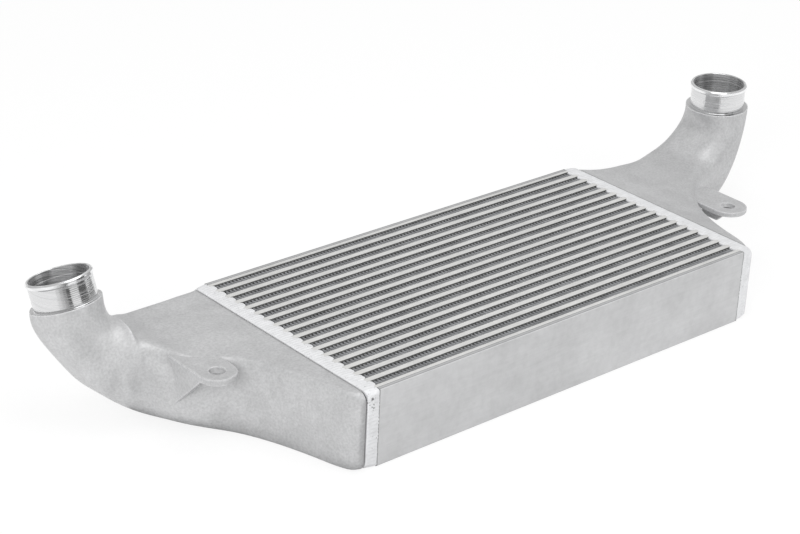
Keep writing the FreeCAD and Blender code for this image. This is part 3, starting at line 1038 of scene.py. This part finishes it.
def pull(bm, grown, offset):
    """Moves the points that an extrusion has made."""
    moved = [item for item in grown["geom"] if isinstance(item, bmesh.types.BMVert)]
    bmesh.ops.translate(bm, verts=moved, vec=offset)


def soften(piece):
    """Rounds a piece's sharp edges."""
    bevel = piece.modifiers.new("soft_edges", "BEVEL")
    bevel.width = EDGE_WIDTH * MM
    bevel.segments = 3
    bevel.limit_method = "ANGLE"
    bevel.angle_limit = math.radians(35)


def ring_place(distance, radius):
    """Point and outward direction on the core's outline with rounded corners, in
    the YZ plane, at a distance from the middle of its bottom."""
    flat_y = HALF_DEPTH - radius
    high = CORE_HEIGHT - radius
    tall = high - radius
    arc = math.pi / 2 * radius
    runs = (
        (flat_y, Vector((0, 0)), Vector((1, 0)), Vector((0, -1))),
        (arc, Vector((flat_y, radius)), -90, None),
        (tall, Vector((HALF_DEPTH, radius)), Vector((0, 1)), Vector((1, 0))),
        (arc, Vector((flat_y, high)), 0, None),
        (2 * flat_y, Vector((flat_y, CORE_HEIGHT)), Vector((-1, 0)), Vector((0, 1))),
        (arc, Vector((-flat_y, high)), 90, None),
        (tall, Vector((-HALF_DEPTH, high)), Vector((0, -1)), Vector((-1, 0))),
        (arc, Vector((-flat_y, radius)), 180, None),
        (flat_y, Vector((-flat_y, 0)), Vector((1, 0)), Vector((0, -1))),
    )
    for length, start, direction, outward in runs:
        if distance <= length + MERGE:
            if outward is None:
                turn = math.radians(direction) + distance / radius
                outward = Vector((math.cos(turn), math.sin(turn)))
                return start + outward * radius, outward
            return start + direction * distance, outward
        distance -= length
    return Vector((0, 0)), Vector((0, -1))


def ring_length(radius):
    """Length round the outline of ring_place."""
    return 4 * (HALF_DEPTH - radius) + 2 * (CORE_HEIGHT - 2 * radius) + 2 * math.pi * radius


def bead_place(along, across):
    """Point and outward direction under the bead, at a share of the way round
    the core and of the way from core to tank: square corners at the core turn
    into the casting's round ones."""
    spots = []
    for radius in (CORE_CORNER, TANK_CORNER):
        spots.append(ring_place(ring_length(radius) * along, radius))
    place = spots[0][0].lerp(spots[1][0], across)
    outward = spots[0][1].lerp(spots[1][1], across).normalized()
    return place, outward


def fin_cover(across_core, centres, half_gap):
    """How far the bead covers a fin row's end, from 0 at a tube to 1 mid-row."""
    for centre in centres:
        offset = abs(across_core - centre) / half_gap
        if offset < 1:
            return math.sqrt(1 - offset**3)
    return 0.0


def build_bead(side, sign, look):
    """Weld bead round one end of the core: a crowned band with torch ripples
    and a rounded tongue over the end of each fin row."""
    steps = int(ring_length(TANK_CORNER) / (look.step / MM))
    proud = WELD_TOP - CORE_HEIGHT
    boxes = [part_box(name) for name in ROWS]
    centres = [(low.y + high.y) / 2 / MM for low, high in boxes]
    half_gap = (boxes[0][1].y - boxes[0][0].y) / 2 / MM + TONGUE_SPREAD
    bm = bmesh.new()
    made = bmesh.ops.create_grid(bm, x_segments=steps, y_segments=len(BEAD_CROWN), size=1)
    for vert in made["verts"]:
        u = round((vert.co.x + 1) / 2 * steps) % steps
        v = round((vert.co.y + 1) / 2 * len(BEAD_CROWN)) % len(BEAD_CROWN)
        share, lift = BEAD_CROWN[v]
        place, outward = bead_place(u / steps, share)
        cover = fin_cover(place.x, centres, half_gap) if abs(outward.y) > 0.99 else 0.0
        wander = sum(height * math.sin(u * turn + start) for height, turn, start in WANDERS)
        inner = WELD_START - BEAD_OVERLAP - look.tongue / MM * cover + wander
        x = inner + (WELD_END - BEAD_GAP - inner) * share
        height = lift
        if lift > 0:
            fullness = 0.4 + 0.6 * max(cover, min(0.8, 1.6 * share))
            arc = u * RIPPLE_TURN + RIPPLE_SWEEP * math.sin(share * 3)
            height = proud * (lift * fullness) - look.ripple / MM * (1 - math.sin(arc)) * lift
        if outward.y < -0.5:
            height = min(height, -0.02)
        spot = place + outward * height
        vert.co = Vector((sign * x, spot.x, spot.y)) * MM
    add_piece(side + "_weld", bm, "weld_aluminium", [side + "_weld_bead"])


def build_fins(number, name, look):
    """One row of folded fin: a single fold, thickened and repeated."""
    box_low, box_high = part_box(name)
    pitch = look.fold_pitch
    count = int((box_high.x - box_low.x) / pitch)
    start = -count * pitch / 2
    lean = look.fold_skew if number % 2 else -look.fold_skew
    gauge = look.fold_gauge
    low_y, high_y = box_low.y + gauge / 2, box_high.y - gauge / 2
    path = (
        (0.0, low_y),
        (FOLD_FLAT, low_y),
        (0.5 + lean, high_y),
        (0.5 + FOLD_FLAT + lean, high_y),
        (1.0, low_y),
    )
    bm = bmesh.new()
    verts = [bm.verts.new((start + share * pitch, y, box_low.z)) for share, y in path]
    edges = [bm.edges.new(pair) for pair in zip(verts, verts[1:])]
    grown = bmesh.ops.extrude_edge_only(bm, edges=edges)
    pull(bm, grown, (0, 0, box_high.z - box_low.z))
    piece = add_piece("fin_row_%02d" % (number + 1), bm, "fin_aluminium", [name])
    thicken = piece.modifiers.new("gauge", "SOLIDIFY")
    thicken.thickness = gauge
    thicken.offset = 0
    repeat = piece.modifiers.new("folds", "ARRAY")
    repeat.use_relative_offset = False
    repeat.use_constant_offset = True
    repeat.constant_offset_displace = (pitch, 0, 0)
    repeat.count = count


def area_lamp(name, place, aim, size, power):
    """Square soft lamp that shines from a place at a point."""
    light = bpy.data.lights.new(name, "AREA")
    light.shape = "SQUARE"
    light.size = size
    light.energy = power
    lamp = put(name, light)
    lamp.location = place
    lamp.rotation_euler = (Vector(aim) - Vector(place)).to_track_quat("-Z", "Y").to_euler()
    return lamp


def dark_fan(name, foot, start, end, cover):
    """Dark card about the foot of a neck, along the floor and up at its far end,
    between two angles from the camera's direction; only reflections show it."""
    heading = math.atan2(CAMERA_PLACE.y - foot.y, CAMERA_PLACE.x - foot.x)
    floor = CAD_BOX[0].z - FAN_DROP
    bm = bmesh.new()
    verts = []
    for reach, level in ((FAN_NEAR, floor), (FAN_FAR, floor), (FAN_FAR, FAN_HEIGHT)):
        for angle in (start, end):
            turn = heading + math.radians(angle)
            side = Vector((math.cos(turn), math.sin(turn)))
            verts.append(bm.verts.new((foot.xy + reach * side).to_3d() + level * Z_LINE))
    bm.faces.new((verts[0], verts[1], verts[3], verts[2]))
    bm.faces.new((verts[2], verts[3], verts[5], verts[4]))
    new_finish(name).surface({"Base Color": FAN_COLOUR, "Roughness": 0.9, "Alpha": cover})
    card = put_mesh(name, bm, name)
    card.visible_camera = False
    card.visible_shadow = False
    card.visible_diffuse = False


class INTERCOOLER_OT_finishes(bpy.types.Operator):
    """Make the metal finishes and lay them on the core's own nodes"""

    bl_idname = "intercooler.finishes"
    bl_label = "Core Finishes"

    def execute(self, context):
        core = context.scene.intercooler_core
        cast_finish(tuple(context.scene.intercooler_tank.cast_colour))
        weld_finish(tuple(context.scene.intercooler_weld.colour))
        fin_finish(tuple(core.fin_colour))
        bar_colour, plate_colour = tuple(core.bar_colour), tuple(core.plate_colour)
        # The bars' finish carries painted shade on the tubes' sides.
        rolled_finish("bar_aluminium", bar_colour, (25, 900, 900), 0.12, painted_tube_side_shade)
        rolled_finish("plate_aluminium", plate_colour, (14, 300, 300), 0.07, plate_seams)
        for names, wanted in (
            ((*TUBES, *SHEETS, *END_BARS), "bar_aluminium"),
            (PLATES, "plate_aluminium"),
            (TURBULATORS, "fin_aluminium"),
        ):
            for name in names:
                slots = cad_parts[name].data.materials
                slots.clear()
                slots.append(FINISHES[wanted])
        return {"FINISHED"}


class INTERCOOLER_OT_fins(bpy.types.Operator):
    """Fill the air channels with rows of folded fin"""

    bl_idname = "intercooler.fins"
    bl_label = "Fin Rows"

    def execute(self, context):
        for number, name in enumerate(ROWS):
            build_fins(number, name, context.scene.intercooler_core)
        return {"FINISHED"}


class INTERCOOLER_OT_welds(bpy.types.Operator):
    """Lay the weld bead round both ends of the core"""

    bl_idname = "intercooler.welds"
    bl_label = "Weld Beads"

    def execute(self, context):
        for side, sign in SIDES.items():
            build_bead(side, sign, context.scene.intercooler_weld)
        return {"FINISHED"}


class INTERCOOLER_OT_tanks(bpy.types.Operator):
    """Shape the two hollow tank castings"""

    bl_idname = "intercooler.tanks"
    bl_label = "Tank Castings"

    def execute(self, context):
        for side, sign in SIDES.items():
            build_tank(side, sign, context.scene.intercooler_tank)
        return {"FINISHED"}


class INTERCOOLER_OT_necks(bpy.types.Operator):
    """Turn the two hose necks"""

    bl_idname = "intercooler.necks"
    bl_label = "Hose Necks"

    def execute(self, context):
        for side, sign in SIDES.items():
            build_neck(side, sign, context.scene.intercooler_tank)
        return {"FINISHED"}


class INTERCOOLER_OT_ears(bpy.types.Operator):
    """Add the two bolt ears with their gussets"""

    bl_idname = "intercooler.ears"
    bl_label = "Bolt Ears"

    def execute(self, context):
        for side, sign in SIDES.items():
            build_ear(side, sign)
        return {"FINISHED"}


class INTERCOOLER_OT_studio(bpy.types.Operator):
    """Set up the floor, the lamps, the world and the camera"""

    bl_idname = "intercooler.studio"
    bl_label = "Studio"

    def execute(self, context):
        look = context.scene.intercooler_studio
        build_floor(tuple(look.floor_colour))
        build_world(look.fill)
        for name, place, aim, size, mirrored in LAMPS:
            lamp = area_lamp(name, place, aim, size, getattr(look, name))
            lamp.visible_glossy = mirrored
        for name, side, start, end, cover in DARK_FANS:
            foot = tank_frame(side, SIDES[side])["shoulder"] * MM
            dark_fan(name, foot, start, end, cover)
        build_camera()
        return {"FINISHED"}


def build_floor(colour):
    """Wide pale floor that keeps the shadow and looks white to the camera."""
    bm = bmesh.new()
    bmesh.ops.create_grid(bm, x_segments=1, y_segments=1, size=FLOOR_HALF)
    bmesh.ops.translate(bm, verts=bm.verts[:], vec=(0, 0, CAD_BOX[0].z - FLOOR_DROP))
    graph = new_finish("floor_paper")
    seen = graph.node("LightPath", {}, {}, "Is Camera Ray")
    shine = graph.node("LightPath", {}, {}, "Is Glossy Ray")
    lit = graph.node("BsdfDiffuse", {}, {"Color": colour})
    glow = graph.node("Emission", {}, {"Color": (1, 1, 1), "Strength": FLOOR_GLOW})
    graph.show(graph.node("MixShader", {}, {0: seen * 0.8 + shine * 0.9, 1: lit, 2: glow}))
    floor = put_mesh("floor", bm, "floor_paper")


def build_world(fill):
    """Even light from all round; the camera sees it white."""
    world = bpy.data.worlds.new("studio")
    bpy.context.scene.world = world
    world.use_nodes = True
    graph = Graph(world.node_tree)
    seen = graph.node("LightPath", {}, {}, "Is Camera Ray")
    shade = graph.node("Background", {}, {"Color": (1, 1, 1), "Strength": fill})
    white = graph.node("Background", {}, {"Color": (1, 1, 1), "Strength": 1.0})
    graph.show(graph.node("MixShader", {}, {0: seen, 1: shade, 2: white}), "OutputWorld")


def build_camera():
    """Camera at the photograph's place, with its slight roll."""
    data = bpy.data.cameras.new("camera")
    data.lens = CAMERA_LENS
    data.sensor_width = SENSOR_WIDTH
    data.clip_start = 0.05
    data.clip_end = 50
    camera = put("camera", data)
    right = CAMERA_FORWARD.cross(Z_LINE).normalized()
    up = right.cross(CAMERA_FORWARD)
    side_axis = right * math.cos(CAMERA_ROLL) + up * math.sin(CAMERA_ROLL)
    back_axis = -CAMERA_FORWARD
    up_axis = back_axis.cross(side_axis)
    turn = Matrix((side_axis, up_axis, back_axis)).transposed().to_4x4()
    camera.matrix_world = Matrix.Translation(CAMERA_PLACE) @ turn
    bpy.context.scene.camera = camera
    bpy.context.scene.view_settings.view_transform = "Standard"


class INTERCOOLER_PT_panel(bpy.types.Panel):
    """Sidebar panel with the steps of the dressing"""

    bl_label = "Intercooler"
    bl_idname = "INTERCOOLER_PT_panel"
    bl_space_type = "VIEW_3D"
    bl_region_type = "UI"
    bl_category = "Intercooler"

    def draw(self, context):
        for group, _, steps in LOOKS:
            box = self.layout.box()
            look = getattr(context.scene, group)
            for name in look.__annotations__:
                box.prop(look, name)
            for step in steps:
                box.operator(step)


# Each group of looks: its name on the scene, its class and the steps it rules.
LOOKS = (
    ("intercooler_core", CoreLook, ("intercooler.finishes", "intercooler.fins")),
    ("intercooler_weld", WeldLook, ("intercooler.welds",)),
    ("intercooler_tank", TankLook, ("intercooler.tanks", "intercooler.necks", "intercooler.ears")),
    ("intercooler_studio", StudioLook, ("intercooler.studio",)),
)

CLASSES = (
    CoreLook,
    WeldLook,
    TankLook,
    StudioLook,
    INTERCOOLER_OT_finishes,
    INTERCOOLER_OT_fins,
    INTERCOOLER_OT_welds,
    INTERCOOLER_OT_tanks,
    INTERCOOLER_OT_necks,
    INTERCOOLER_OT_ears,
    INTERCOOLER_OT_studio,
    INTERCOOLER_PT_panel,
)


def register():
    """Adds the classes and hangs the looks on the scene."""
    for item in CLASSES:
        bpy.utils.register_class(item)
    for name, group, _ in LOOKS:
        setattr(bpy.types.Scene, name, PointerProperty(type=group))


def unregister():
    """Takes the looks and classes away again."""
    for name, *_ in LOOKS:
        delattr(bpy.types.Scene, name)
    for item in reversed(CLASSES):
        bpy.utils.unregister_class(item)


def main():
    """Runs every step in order."""
    register()
    bpy.ops.intercooler.finishes()
    bpy.ops.intercooler.tanks()
    bpy.ops.intercooler.necks()
    bpy.ops.intercooler.ears()
    bpy.ops.intercooler.welds()
    bpy.ops.intercooler.fins()
    bpy.ops.intercooler.studio()


if __name__ == "__main__":
    main()
